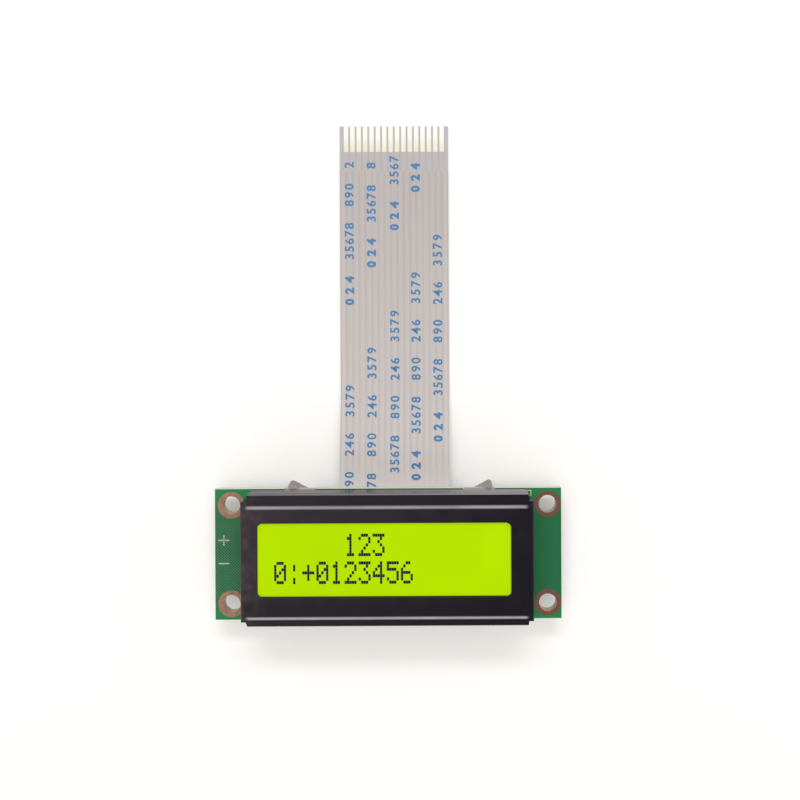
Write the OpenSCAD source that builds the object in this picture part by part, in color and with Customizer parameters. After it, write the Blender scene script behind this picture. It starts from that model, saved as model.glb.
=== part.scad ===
// Character LCD module: a chip-on-board display, 16 characters by 2 lines, with an edge-lit
// backlight, a stamped steel bezel and a soldered 16-way flat cable. Millimetres.
// The origin is the centre of the four mounting holes on the board's front face. +Z points out of
// the display, +Y towards the flat cable's free end. It lies on the bezel's twisted tabs.

/* [Board] */
// Width of the circuit board
board_w = 53; // [50:0.5:60]
// Height of the circuit board
board_d = 20; // [19.4:0.1:24]
// Thickness of the bare board
board_t = 1.6; // [1:0.1:2]
// Distance from the board's left edge in to the mounting holes
hole_margin_left = 2.5; // [2.2:0.05:3]
// Distance from the board's right edge in to the mounting holes
hole_margin_right = 2.1; // [2.1:0.05:3]
// Distance from the board's long edges in to the mounting holes
hole_margin_y = 2.45; // [2.2:0.05:3.5]
// Finished bore of a plated mounting hole
hole_bore = 2.7; // [2:0.1:2.8]
// Width of the bare copper ring round a mounting hole
ring_w = 0.7; // [0.3:0.05:0.75]
// Thickness of the copper pads and rings
copper_t = 0.05; // [0.035:0.005:0.07]
// Wall of the copper barrel that lines a plated hole
barrel_t = 0.05; // [0.03:0.01:0.08]

/* [Bezel] */
// Thickness of the bezel's steel sheet
sheet_t = 0.4; // [0.3:0.05:0.5]
// Distance from the mounting holes in to the bezel's end walls
bezel_margin = 2.6; // [2.3:0.05:3]
// Distance from the board's long edge in to the bezel's long wall
bezel_inset = 0.1; // [0.05:0.05:0.2]
// Width of each sloping shoulder between the front face and a long wall
shoulder_w = 1.7; // [1:0.1:1.8]
// How far a shoulder drops from the front face
shoulder_drop = 1.75; // [0.4:0.05:1.8]
// Outer radius of the bend between the front face and a shoulder
crease_r = 1.2; // [0.8:0.1:2]
// Outer radius of the bend between a shoulder and a long wall
wall_bend_r = 0.8; // [0.6:0.1:1]
// Outer radius of the bend at the short ends
end_bend_r = 0.8; // [0.6:0.1:1]
// Width of the end walls
end_wall_d = 17.7; // [16:0.1:18.6]
// Gap between a long wall's end and the inner side of the end wall, at each notched corner
corner_gap = 0.3; // [0.1:0.05:0.4]
// Distance from the bezel's end walls in to the window, on average
window_border = 2.9; // [2.7:0.1:5]
// Height of the window
window_d = 10.9; // [9:0.1:11.4]
// Corner radius of the window
window_r = 1; // [0.5:0.1:2]
// How far the window's centre lies to the left of the hole pattern's centre
window_shift_x = 0.4; // [0:0.05:0.5]
// How far the window's centre lies above the hole pattern's centre
window_shift_y = 0.4; // [0:0.05:0.45]

/* [Bezel tabs] */
// Width of a tab
tab_w = 4.4; // [2:0.1:5]
// Distance of the tabs from the middle
tab_x = 13.7; // [12:0.1:16]
// How far a tab stands out behind the board
tab_reach = 2; // [1.8:0.1:2.6]
// Twist that locks a tab behind the board
tab_twist = 28; // [15:1:45]
// Radius of a tab's corners
tab_corner_r = 0.5; // [0.2:0.05:0.8]
// Clearance of a tab in its notch in the board's edge
tab_clearance = 0.2; // [0.1:0.05:0.3]

/* [Display cell] */
// Thickness of each glass plate
glass_t = 0.7; // [0.5:0.05:1.1]
// Clearance from the glass to the bezel's end walls
glass_clearance = 0.7; // [0.4:0.05:1]
// Clearance from the front glass's long edges to the inside of the bezel's bends
crease_clearance = 0.1; // [0.05:0.01:0.2]
// Width of the contact ledge along the front glass's long edges
ledge_w = 1.6; // [1.6:0.05:1.8]
// Gap between the two plates that the liquid crystal fills
cell_gap = 0.05; // [0.02:0.01:0.08]
// Width of the glue line that seals the cell
seal_w = 0.5; // [0.4:0.05:0.7]
// Thickness of each polarizer
polarizer_t = 0.2; // [0.15:0.01:0.25]
// Margin of the front polarizer round the window
polarizer_margin = 0.8; // [0.5:0.05:1]
// Length of the filling port in the seal
port_l = 3; // [2:0.1:4]
// How far the glue plug stands out of the filling port
plug_reach = 0.3; // [0.2:0.05:0.35]

/* [Backlight] */
// Thickness of the backlight
backlight_t = 3.15; // [2.2:0.05:3.5]
// Clearance of the backlight frame inside the bezel's walls
frame_clearance = 0.3; // [0.2:0.05:0.35]
// Thickness of the diffuser sheet
diffuser_t = 0.1; // [0.05:0.01:0.2]
// Thickness of the reflector sheet
reflector_t = 0.1; // [0.05:0.01:0.2]
// Width of an elastomer contact strip
strip_w = 1.4; // [1.2:0.05:1.5]
// Clearance of a contact strip in its slot
strip_clearance = 0.1; // [0.05:0.01:0.15]
// Wall between the light guide and each contact strip
rail_w = 0.5; // [0.4:0.05:0.8]
// Clearance round the light guide
guide_clearance = 0.05; // [0.03:0.01:0.1]
// Depth of the pocket for the row of light sources
led_pocket_w = 2; // [1.9:0.1:2.6]
// Number of light sources
led_count = 3; // [2:1:4]
// Distance between the light sources
led_pitch = 3; // [2.4:0.1:3]
// Thickness of the small board that carries the light sources
led_board_t = 0.4; // [0.3:0.05:0.5]
// Place across the board of the positive pin
plus_pin_y = 2.15; // [1.6:0.05:3]
// Place across the board of the negative pin
minus_pin_y = -1.4; // [-3:0.05:-1]
// Width of a backlight pin
pin_w = 0.5; // [0.4:0.05:0.55]
// Thickness of a backlight pin
pin_t = 0.3; // [0.2:0.05:0.35]
// Bore of a plated pin hole
pin_bore = 0.8; // [0.7:0.05:0.9]
// Width of the copper ring round a pin hole
pin_ring_w = 0.4; // [0.3:0.05:0.5]
// How far a pin stands out behind the board
pin_reach = 0.9; // [0.6:0.1:1.2]

/* [Contacts on the board] */
// Distance between the contacts under each elastomer strip
contact_pitch = 0.8; // [0.7:0.01:0.9]
// Free length of an elastomer strip past its last contact
contact_margin = 0.9; // [0.6:0.05:1.2]

/* [Chips] */
// Base diameter of an epoxy cap over a chip
cap_d = 9.6; // [8:0.1:10]
// Height of an epoxy cap
cap_h = 1.5; // [1:0.05:1.7]
// Distance of the two caps from the middle
cap_x = 10.8; // [10.4:0.1:12]
// How far the caps lie below the middle
cap_drop = 2.2; // [2:0.1:3]
// Length of a silicon chip
die_w = 3; // [2:0.1:4]
// Height of a silicon chip
die_d = 2.6; // [2:0.1:3]
// Thickness of a silicon chip
die_t = 0.35; // [0.2:0.05:0.5]
// Length of a chip resistor or capacitor
chip_w = 2; // [1.6:0.1:2.2]
// Width of a chip resistor or capacitor
chip_d = 1.25; // [0.8:0.05:1.3]
// Height of a chip resistor
resistor_t = 0.5; // [0.35:0.05:0.6]
// Height of a chip capacitor
capacitor_t = 0.85; // [0.6:0.05:1.2]
// Length of the metal cap on each end of a chip
end_cap_w = 0.35; // [0.2:0.05:0.5]
// Number of rows of bias resistors
resistor_rows = 4; // [2:1:5]
// Distance between the rows of resistors
resistor_pitch = 1.95; // [1.7:0.05:2]

/* [Flat cable] */
// Number of conductors
way_count = 16; // [10:1:18]
// Distance between the conductors
way_pitch = 1; // [1:0.05:1.05]
// Width of a conductor
conductor_w = 0.7; // [0.5:0.05:0.75]
// Thickness of a conductor
conductor_t = 0.1; // [0.05:0.01:0.12]
// Thickness of each insulating film
film_t = 0.05; // [0.04:0.01:0.08]
// Length of the cable from end to end
cable_l = 62.2; // [50:0.1:100]
// How far the cable's centre lies to the right of the hole pattern's centre
cable_shift = 0.7; // [0:0.1:1]
// Bare length of the conductors at the free end
plug_strip_l = 4; // [3:0.5:5]
// Bare length of the conductors at the soldered end
solder_strip_l = 3.8; // [3:0.1:4]
// Distance from the board's edge in to the soldered end
solder_setback = 5.8; // [5.2:0.1:6]
// Length of the stiffener at the free end
stiffener_l = 7; // [6:0.5:10]
// Thickness of the stiffener
stiffener_t = 0.15; // [0.1:0.01:0.25]
// Distance from the board's edge to the start of the cable's bend
bend_start = 0.8; // [0.5:0.1:5]
// Radius of the cable's two bends
cable_bend_r = 36; // [15:1:60]
// Thickness of the solder under the conductors
solder_t = 0.03; // [0.02:0.01:0.05]
// Length of the solder fillet past the conductors' ends
solder_fillet = 0.4; // [0.2:0.05:0.5]

/* [Hidden] */

$fn = 48;
through = 1; // how far a cutting shape runs past the faces that it cuts
bend_steps = 6; // flats round one bend of the sheet
cable_bend_steps = 3; // flats round one bend of the cable

// Heights of the stack, from the board's front face up
diffuser_z = backlight_t;
rear_polarizer_z = diffuser_z + diffuser_t;
rear_glass_z = rear_polarizer_z + polarizer_t;
seal_z = rear_glass_z + glass_t;
front_glass_z = seal_z + cell_gap;
front_polarizer_z = front_glass_z + glass_t;
face_z = front_polarizer_z + polarizer_t; // inner side of the bezel's front face
bezel_h = face_z + sheet_t;
back_z = -board_t; // the board's back face
floor_z = back_z - tab_reach; // what the module lies on

// Board
hole_pitch_x = board_w - hole_margin_left - hole_margin_right;
hole_pitch_y = board_d - 2 * hole_margin_y;
board_x = (hole_margin_right - hole_margin_left) / 2; // the board's middle

// Bezel
bezel_w = hole_pitch_x - 2 * bezel_margin;
window_w = bezel_w - 2 * window_border;
wall_y = board_d / 2 - bezel_inset; // outer side of a long wall
crease_y = wall_y - shoulder_w; // where the front face and a shoulder would meet unrounded
shoulder_angle = atan2(shoulder_drop, shoulder_w);
flat_y = crease_y - crease_r * tan(shoulder_angle / 2); // edge of the flat front face
long_wall_end = bezel_w / 2 - sheet_t - corner_gap;
tab_y = wall_y - sheet_t / 2; // middle of the sheet of a long wall
notch_depth = bezel_inset + sheet_t + tab_clearance;
notch_w = tab_w + 2 * tab_clearance;
tab_twist_steps = 8; // sections along a tab's twist

// Display cell
glass_w = bezel_w - 2 * sheet_t - 2 * glass_clearance;
// The glass reaches out to where the bend's inner side has dropped by a polarizer's thickness
crease_inner_r = crease_r - sheet_t;
bend_reach = sqrt(2 * crease_inner_r * polarizer_t - pow(polarizer_t, 2));
front_glass_d = 2 * (flat_y + bend_reach - crease_clearance);
rear_glass_d = front_glass_d - 2 * ledge_w;
seal_margin = 0.15; // from the rear glass's edge in to the seal
seal_size = [glass_w - 2 * seal_margin, rear_glass_d - 2 * seal_margin];
rear_polarizer_margin = [0.2, 0.1]; // from the seal's edge in to the rear polarizer
rear_polarizer_size = seal_size - 2 * rear_polarizer_margin;

// Backlight
frame_w = bezel_w - 2 * sheet_t - 2 * frame_clearance;
frame_d = 2 * (wall_y - sheet_t - frame_clearance);
strip_y = front_glass_d / 2 - ledge_w / 2; // middle of a contact strip
strip_end_gap = 0.5; // from the glass's end in to a contact strip's end
strip_l = glass_w - 2 * strip_end_gap;
slot_w = strip_w + 2 * strip_clearance;
well_d = 2 * (strip_y - slot_w / 2 - rail_w); // width of the light guide's well
frame_end_w = 0.45; // frame wall outside the pocket for the light sources
pocket_x = -frame_w / 2 + frame_end_w;
well_x = pocket_x + led_pocket_w;
frame_far_end_w = 1.5; // frame wall at the end away from the light sources
well_end_x = frame_w / 2 - frame_far_end_w;
pocket_step = 0.5; // how far the well is wider than the pocket on each side
pocket_d = well_d - 2 * pocket_step;
led_board_clearance = 0.2; // round the light sources' board in its pocket
pin_clearance = 0.05; // from a pin to the pocket's end
led_board_x = pocket_x + pin_t + pin_clearance; // outer face of the light sources' board
led_board_d = pocket_d - 2 * led_board_clearance;
led_board_h = backlight_t - 2 * led_board_clearance;
led_board_z = led_board_clearance;
led_size = [0.8, 1.6, 1.2];
pin_x = led_board_x - pin_t / 2;
pin_drill = pin_bore + 2 * barrel_t;
pin_pad_d = pin_bore + 2 * pin_ring_w;
pin_ys = [plus_pin_y, minus_pin_y];
pin_relief_d = pin_pad_d + 0.2; // recess in the frame over a pin's copper ring
pin_relief_h = 2 * copper_t;
pin_bare_l = 0.2; // end of a pin that stands out of its solder

// Contacts and chips
contact_gap_share = 0.4; // share of the pitch that is bare board between contacts
contact_w = contact_pitch * (1 - contact_gap_share);
contact_row_l = strip_l - 2 * contact_margin; // from the first contact's edge to the last one's
contact_count = floor((contact_row_l - contact_w) / contact_pitch) + 1;
chip_pad_gap = 0.9; // bare board between a chip's two pads
chip_pad_reach = 0.35; // how far a pad reaches past the chip's end
resistor_column_x = 2.3; // distance of both columns of resistors from the middle
resistor_row_y = -7; // place of the lowest row
capacitor_margin = 6.9; // from the board's right edge in to the middle of the capacitors
capacitor_x = board_x + board_w / 2 - capacitor_margin;
capacitor_y = 3; // distance of both capacitors from the middle
solder_chip_h = 0.35; // height of the solder against a chip's end
resistor_places = [
    for (side = [-1, 1]) for (i = [0:resistor_rows - 1])
        [side * resistor_column_x, resistor_row_y + i * resistor_pitch]
];
capacitor_places = [[capacitor_x, capacitor_y], [capacitor_x, -capacitor_y]];

// Flat cable
cable_w = (way_count + 1) * way_pitch;
pad_film_gap = 0.3; // from a pad's end to the upper film
cable_half_t = conductor_t / 2 + film_t; // from the middle plane to the outside, over a conductor
ridge_w = conductor_w + 2 * film_t;
cable_start_y = board_d / 2 - solder_setback;
cable_start_z = back_z - copper_t - solder_t - conductor_t / 2;
cable_end_z = floor_z + stiffener_t + cable_half_t;
bend_y = board_d / 2 + bend_start;
bend_angle = acos(1 - (cable_start_z - cable_end_z) / (2 * cable_bend_r));
bend_end_y = bend_y + 2 * cable_bend_r * sin(bend_angle);
bend_arc_l = 2 * cable_bend_r * bend_angle * PI / 180;
cable_end_y = bend_end_y + cable_l - (bend_y - cable_start_y) - bend_arc_l;
cable_pad_l = solder_strip_l - pad_film_gap + solder_fillet;

// ---- Paths of bent sheet ----

function unit(v) = v / norm(v);
function left_of(v) = [-v[1], v[0]];
function turned(p, a) = [p[0] * cos(a) - p[1] * sin(a), p[0] * sin(a) + p[1] * cos(a)];
function reversed(list) = [for (i = [len(list) - 1:-1:0]) list[i]];

// A path's points moved sideways by d, with mitred corners
function moved_path(path, d) = [
    for (i = [0:len(path) - 1])
        let (
            before = path[max(i, 1)] - path[max(i, 1) - 1],
            after = path[min(i, len(path) - 2) + 1] - path[min(i, len(path) - 2)],
            n1 = left_of(unit(before)),
            n2 = left_of(unit(after))
        )
        path[i] + (n1 + n2) * d / (1 + n1 * n2)
];

// The points of an arc that rounds the corner b between a and c
function corner_arc(a, b, c, r, steps) =
    let (
        u = unit(a - b),
        v = unit(c - b),
        half = acos(u * v) / 2,
        centre = b + unit(u + v) * r / sin(half),
        from = b + u * r / tan(half) - centre,
        side = cross([u[0], u[1]], [v[0], v[1]]) > 0 ? 1 : -1,
        sweep = -side * (180 - 2 * half)
    )
    [for (i = [0:steps]) centre + turned(from, sweep * i / steps)];

function rounded_path(path, radii, steps) = concat(
    [path[0]],
    [
        for (i = [1:len(path) - 2])
            each corner_arc(path[i - 1], path[i], path[i + 1], radii[i - 1], steps)
    ],
    [path[len(path) - 1]]
);

// Extrudes an outline in the plane of Y and Z along X, from the middle out
module across(l) {
    rotate([90, 0, 90])
        linear_extrude(l, center = true)
            children();
}

// A block with its middle at the given place in X and Y, standing on z
module block(size, place, z) {
    translate([place[0] - size[0] / 2, place[1] - size[1] / 2, z])
        cube(size);
}

// ---- Circuit board ----

module at_mounting_holes() {
    for (x = [-1, 1], y = [-1, 1])
        translate([x * hole_pitch_x / 2, y * hole_pitch_y / 2, 0])
            children();
}

module at_pins() {
    for (y = pin_ys)
        translate([pin_x, y, 0])
            children();
}

module drill(d) {
    translate([0, 0, back_z - through])
        cylinder(d = d, h = board_t + 2 * through);
}

module circuit_board() {
    color("seagreen")
        difference() {
            block([board_w, board_d, board_t], [board_x, 0], back_z);
            at_mounting_holes()
                drill(hole_bore + 2 * barrel_t);
            at_pins()
                drill(pin_drill);
            for (x = [-tab_x, tab_x], side = [-1, 1])
                block(
                    [notch_w, 2 * notch_depth, board_t + 2 * through],
                    [x, side * board_d / 2],
                    back_z - through
                );
        }
}

// A copper barrel through the board with a ring on each face
module plated_hole(bore, ring) {
    difference() {
        union() {
            translate([0, 0, back_z])
                cylinder(d = bore + 2 * barrel_t, h = board_t);
            cylinder(d = bore + 2 * ring, h = copper_t);
            translate([0, 0, back_z - copper_t])
                cylinder(d = bore + 2 * ring, h = copper_t);
        }
        drill(bore);
    }
}

module mounting_hole_plating() {
    color("rosybrown")
        at_mounting_holes()
            plated_hole(hole_bore, ring_w);
}

module pin_hole_plating() {
    color("goldenrod")
        at_pins()
            plated_hole(pin_bore, pin_ring_w);
}

// Contacts under the two elastomer strips
module strip_contacts() {
    color("goldenrod")
        for (side = [-1, 1], i = [0:contact_count - 1])
            block(
                [contact_w, strip_w, copper_t],
                [(i - (contact_count - 1) / 2) * contact_pitch, side * strip_y],
                0
            );
}

// ---- Bezel ----

// Cross-section of the pressed tray through its long walls and shoulders, down to the given height
function long_walls_path(bottom) = [
    [-wall_y, bottom],
    [-wall_y, bezel_h - shoulder_drop],
    [-crease_y, bezel_h],
    [crease_y, bezel_h],
    [wall_y, bezel_h - shoulder_drop],
    [wall_y, bottom]
];

// Cross-section of the pressed tray through its end walls
function end_walls_path(bottom) = [
    [-bezel_w / 2, bottom],
    [-bezel_w / 2, bezel_h],
    [bezel_w / 2, bezel_h],
    [bezel_w / 2, bottom]
];

// A path with rounded corners, drawn in and filled
module drawn_in(path, radii, inset) {
    polygon(rounded_path(moved_path(path, -inset), [for (r = radii) r - inset], bend_steps));
}

// The tray's outside, or its hollow when drawn in by the sheet's thickness
module tray_form(inset) {
    intersection() {
        across(bezel_w + 2 * through)
            drawn_in(long_walls_path(-inset), [wall_bend_r, crease_r, crease_r, wall_bend_r], inset);
        rotate([90, 0, 0])
            linear_extrude(2 * wall_y + 2 * through, center = true)
                drawn_in(end_walls_path(-inset), [end_bend_r, end_bend_r], inset);
    }
}

// Notches that part the long walls from the end walls
module corner_notches() {
    for (x = [-1, 1], y = [-1, 1])
        block(
            [bezel_w - 2 * long_wall_end, 2 * wall_y - end_wall_d, bezel_h + 2 * through],
            [x * bezel_w / 2, y * wall_y],
            -through
        );
}

function tab_width_at(rise) =
    rise >= tab_corner_r
        ? tab_w
        : tab_w - 2 * (tab_corner_r - sqrt(pow(tab_corner_r, 2) - pow(tab_corner_r - rise, 2)));

// A tab's cross-section at a height over its free end
function tab_section(rise) =
    let (
        turn = tab_twist * max(0, 1 - rise / tab_reach),
        w = tab_width_at(rise)
    )
    [
        for (corner = [[-1, -1], [1, -1], [1, 1], [-1, 1]])
            let (p = turned([corner[0] * w / 2, corner[1] * sheet_t / 2], turn))
            [p[0], p[1], floor_z + rise]
    ];

// A tab that runs down from a long wall through the board's notch and is twisted behind the board
module twisted_tab() {
    round_rises = [for (a = [0:30:90]) tab_corner_r * (1 - cos(a))];
    twist_rises = [
        for (i = [1:tab_twist_steps])
            tab_corner_r + (tab_reach - tab_corner_r) * i / tab_twist_steps
    ];
    rises = concat(round_rises, twist_rises, [tab_reach + board_t + sheet_t]);
    count = len(rises);
    points = [for (i = [count - 1:-1:0]) each tab_section(rises[i])];
    sides = [
        for (i = [0:count - 2], k = [0:3])
            let (
                a = 4 * i + k,
                b = 4 * i + (k + 1) % 4
            )
            each [[a, b, b + 4], [a, b + 4, a + 4]]
    ];
    last = 4 * (count - 1);
    polyhedron(points, concat([[3, 2, 1, 0]], sides, [[last, last + 1, last + 2, last + 3]]));
}

module window_cut() {
    translate([-window_shift_x, window_shift_y, face_z - through])
        linear_extrude(sheet_t + 2 * through)
            rounded_rectangle([window_w, window_d], window_r);
}

module rounded_rectangle(size, r) {
    square([size[0] - 2 * r, size[1]], center = true);
    square([size[0], size[1] - 2 * r], center = true);
    for (x = [-1, 1], y = [-1, 1])
        translate([x * (size[0] / 2 - r), y * (size[1] / 2 - r)])
            circle(r);
}

module bezel() {
    color("dimgray")
        union() {
            difference() {
                tray_form(0);
                tray_form(sheet_t);
                corner_notches();
                window_cut();
            }
            for (x = [0, 1], y = [0, 1])
                mirror([x, 0, 0])
                    mirror([0, y, 0])
                        translate([tab_x, tab_y, 0])
                            twisted_tab();
        }
}

// ---- Display cell ----

module front_polarizer() {
    color("yellowgreen")
        block(
            [window_w + 2 * polarizer_margin, window_d + 2 * polarizer_margin, polarizer_t],
            [-window_shift_x, window_shift_y],
            front_polarizer_z
        );
}

module front_glass() {
    color("palegreen", 0.6)
        block([glass_w, front_glass_d, glass_t], [0, 0], front_glass_z);
}

// The glue line round the cell, open at the filling port on the right side
module cell_seal() {
    color("gray")
        difference() {
            block([seal_size[0], seal_size[1], cell_gap], [0, 0], seal_z);
            block(
                [seal_size[0] - 2 * seal_w, seal_size[1] - 2 * seal_w, cell_gap + 2 * through],
                [0, 0],
                seal_z - through
            );
            block(
                [2 * seal_w + seal_margin, port_l, cell_gap + 2 * through],
                [seal_size[0] / 2, 0],
                seal_z - through
            );
        }
}

// Glue that closes the filling port: a tongue between the plates and a drop on their edges
module fill_port_plug() {
    tongue_w = seal_margin + seal_w;
    color("khaki") {
        block([tongue_w, port_l, cell_gap], [glass_w / 2 - tongue_w / 2, 0], seal_z);
        block(
            [plug_reach, port_l, glass_t + cell_gap],
            [glass_w / 2 + plug_reach / 2, 0],
            seal_z - glass_t / 2
        );
    }
}

module rear_glass() {
    color("palegreen", 0.6)
        block([glass_w, rear_glass_d, glass_t], [0, 0], rear_glass_z);
}

module rear_polarizer() {
    color("greenyellow")
        block(
            [rear_polarizer_size[0], rear_polarizer_size[1], polarizer_t],
            [0, 0],
            rear_polarizer_z
        );
}

// An elastomer strip that carries the signals from the board up to the front glass's ledge
module contact_strip(side) {
    color("slategray")
        block(
            [strip_l, strip_w, front_glass_z - copper_t],
            [0, side * strip_y],
            copper_t
        );
}

// ---- Backlight ----

module diffuser_sheet() {
    color("white")
        block(
            [rear_polarizer_size[0], rear_polarizer_size[1], diffuser_t],
            [0, 0],
            diffuser_z
        );
}

module light_guide() {
    w = well_end_x - well_x - 2 * guide_clearance;
    color("lightyellow")
        block(
            [w, well_d - 2 * guide_clearance, backlight_t - reflector_t],
            [(well_x + well_end_x) / 2, 0],
            reflector_t
        );
}

module reflector_sheet() {
    w = well_end_x - well_x - 2 * guide_clearance;
    color("white")
        block([w, well_d - 2 * guide_clearance, reflector_t], [(well_x + well_end_x) / 2, 0], 0);
}

// The moulded frame that holds the light guide and both contact strips in place
module backlight_frame() {
    color("white")
        difference() {
            block([frame_w, frame_d, backlight_t], [0, 0], 0);
            block(
                [well_end_x - well_x, well_d, backlight_t + 2 * through],
                [(well_x + well_end_x) / 2, 0],
                -through
            );
            block(
                [led_pocket_w + through, pocket_d, backlight_t + 2 * through],
                [pocket_x + (led_pocket_w + through) / 2, 0],
                -through
            );
            for (side = [-1, 1])
                block(
                    [strip_l + 2 * strip_clearance, slot_w, backlight_t + 2 * through],
                    [0, side * strip_y],
                    -through
                );
            at_pins()
                cylinder(d = pin_relief_d, h = pin_relief_h);
        }
}

module led_board() {
    color("darkgreen")
        block(
            [led_board_t, led_board_d, led_board_h],
            [led_board_x + led_board_t / 2, 0],
            led_board_z
        );
}

module led_chips() {
    color("lemonchiffon")
        for (i = [0:led_count - 1])
            block(
                led_size,
                [
                    led_board_x + led_board_t + led_size[0] / 2,
                    (i - (led_count - 1) / 2) * led_pitch
                ],
                led_board_z + (led_board_h - led_size[2]) / 2
            );
}

module backlight_pins() {
    color("silver")
        for (y = pin_ys)
            block(
                [pin_t, pin_w, led_board_z + led_board_h + board_t + pin_reach],
                [pin_x, y],
                back_z - pin_reach
            );
}

// Solder that fills a pin hole and stands round the pin behind the board
module pin_solder() {
    fillet_z = back_z - copper_t;
    fillet_h = pin_reach - copper_t - pin_bare_l;
    color("silver")
        for (y = pin_ys)
            difference() {
                translate([pin_x, y, 0])
                    rotate_extrude()
                        polygon([
                            [0, 0],
                            [0, fillet_z - fillet_h],
                            [pin_bore / 2, fillet_z - fillet_h],
                            [pin_pad_d / 2, fillet_z],
                            [pin_bore / 2, fillet_z],
                            [pin_bore / 2, 0]
                        ]);
                block(
                    [pin_t, pin_w, board_t + pin_reach + 2 * through],
                    [pin_x, y],
                    back_z - pin_reach - through
                );
            }
}

// ---- Chips on the board's back ----

module chip_die(side) {
    color("darkslategray")
        block([die_w, die_d, die_t], [side * cap_x, -cap_drop], back_z - die_t);
}

// A dome of black epoxy over a bare chip
module chip_cap(side) {
    dome_r = (pow(cap_d / 2, 2) + pow(cap_h, 2)) / (2 * cap_h);
    color("black")
        difference() {
            intersection() {
                translate([side * cap_x, -cap_drop, back_z - cap_h + dome_r])
                    sphere(dome_r);
                translate([side * cap_x, -cap_drop, back_z - cap_h])
                    cylinder(d = cap_d, h = cap_h);
            }
            block(
                [die_w, die_d, die_t + through],
                [side * cap_x, -cap_drop],
                back_z - die_t
            );
        }
}

// The metal ends that wrap round a chip, of height t
module end_caps(place, t) {
    for (side = [-1, 1])
        block(
            [end_cap_w, chip_d, t],
            [place[0] + side * (chip_w - end_cap_w) / 2, place[1]],
            back_z - copper_t - t
        );
}

module chip_bodies(places, t) {
    for (p = places)
        block([chip_w - 2 * end_cap_w, chip_d, t], p, back_z - copper_t - t);
}

module chip_resistors() {
    color("black")
        chip_bodies(resistor_places, resistor_t);
}

module chip_capacitors() {
    color("peru")
        chip_bodies(capacitor_places, capacitor_t);
}

module chip_end_caps() {
    color("silver") {
        for (p = resistor_places)
            end_caps(p, resistor_t);
        for (p = capacitor_places)
            end_caps(p, capacitor_t);
    }
}

module chip_pads() {
    pad_w = chip_w / 2 + chip_pad_reach - chip_pad_gap / 2;
    color("goldenrod")
        for (p = concat(resistor_places, capacitor_places), side = [-1, 1])
            block(
                [pad_w, chip_d, copper_t],
                [p[0] + side * (chip_pad_gap + pad_w) / 2, p[1]],
                back_z - copper_t
            );
}

// A sloping fillet of solder against each metal end
module chip_solder() {
    pad_z = back_z - copper_t;
    color("silver")
        for (p = concat(resistor_places, capacitor_places), side = [0, 1])
            translate([p[0], p[1], 0])
                mirror([side, 0, 0])
                    rotate([90, 0, 0])
                        linear_extrude(chip_d, center = true)
                            polygon([
                                [chip_w / 2, pad_z],
                                [chip_w / 2, pad_z - solder_chip_h],
                                [chip_w / 2 + chip_pad_reach, pad_z]
                            ]);
}

// ---- Flat cable ----

// The cable's route: place, height and slope of its middle plane, from one end to the other
function cable_route(from_y, to_y) = concat(
    [[from_y, cable_start_z, 0]],
    [
        for (i = [0:cable_bend_steps])
            let (a = bend_angle * i / cable_bend_steps)
            [bend_y + cable_bend_r * sin(a), cable_start_z - cable_bend_r * (1 - cos(a)), a]
    ],
    [
        for (i = [cable_bend_steps - 1:-1:0])
            let (a = bend_angle * i / cable_bend_steps)
            [bend_end_y - cable_bend_r * sin(a), cable_end_z + cable_bend_r * (1 - cos(a)), a]
    ],
    [[to_y, cable_end_z, 0]]
);

function route_side(route, rise) = [
    for (p = route) [p[0] + rise * sin(p[2]), p[1] + rise * cos(p[2])]
];

// A strip of the cable from one height over its middle plane to another
module cable_layer(w, low, high, from_y, to_y) {
    route = cable_route(from_y, to_y);
    across(w)
        polygon(concat(route_side(route, high), reversed(route_side(route, low))));
}

module at_ways() {
    for (i = [0:way_count - 1])
        translate([cable_shift + (i - (way_count - 1) / 2) * way_pitch, 0, 0])
            children();
}

// A film on one side of the conductors, raised over each of them
module cable_film(side, from_y, to_y) {
    outer = side * film_t;
    ridge = side * cable_half_t;
    groove = side * conductor_t / 2;
    past = -side * film_t / 2;
    difference() {
        union() {
            translate([cable_shift, 0, 0])
                cable_layer(cable_w, min(0, outer), max(0, outer), from_y, to_y);
            at_ways()
                cable_layer(ridge_w, min(0, ridge), max(0, ridge), from_y, to_y);
        }
        at_ways()
            cable_layer(
                conductor_w,
                min(past, groove),
                max(past, groove),
                from_y - through,
                to_y + through
            );
    }
}

module cable_upper_film() {
    color("gainsboro")
        cable_film(1, cable_start_y + solder_strip_l, cable_end_y - plug_strip_l);
}

module cable_lower_film() {
    color("gainsboro")
        cable_film(-1, cable_start_y, cable_end_y);
}

module cable_conductors() {
    color("lightyellow")
        at_ways()
            cable_layer(
                conductor_w,
                -conductor_t / 2,
                conductor_t / 2,
                cable_start_y,
                cable_end_y
            );
}

// The plate under the free end, with grooves for the film's ridges
module cable_stiffener() {
    top_z = cable_end_z - film_t;
    color("lightsteelblue")
        difference() {
            block(
                [cable_w, stiffener_l, top_z - floor_z],
                [cable_shift, cable_end_y - stiffener_l / 2],
                floor_z
            );
            at_ways()
                block(
                    [ridge_w, stiffener_l + 2 * through, conductor_t],
                    [0, cable_end_y - stiffener_l / 2],
                    cable_end_z - cable_half_t
                );
        }
}

module cable_pads() {
    color("goldenrod")
        at_ways()
            block(
                [conductor_w, cable_pad_l, copper_t],
                [0, cable_start_y - solder_fillet + cable_pad_l / 2],
                back_z - copper_t
            );
}

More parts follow.
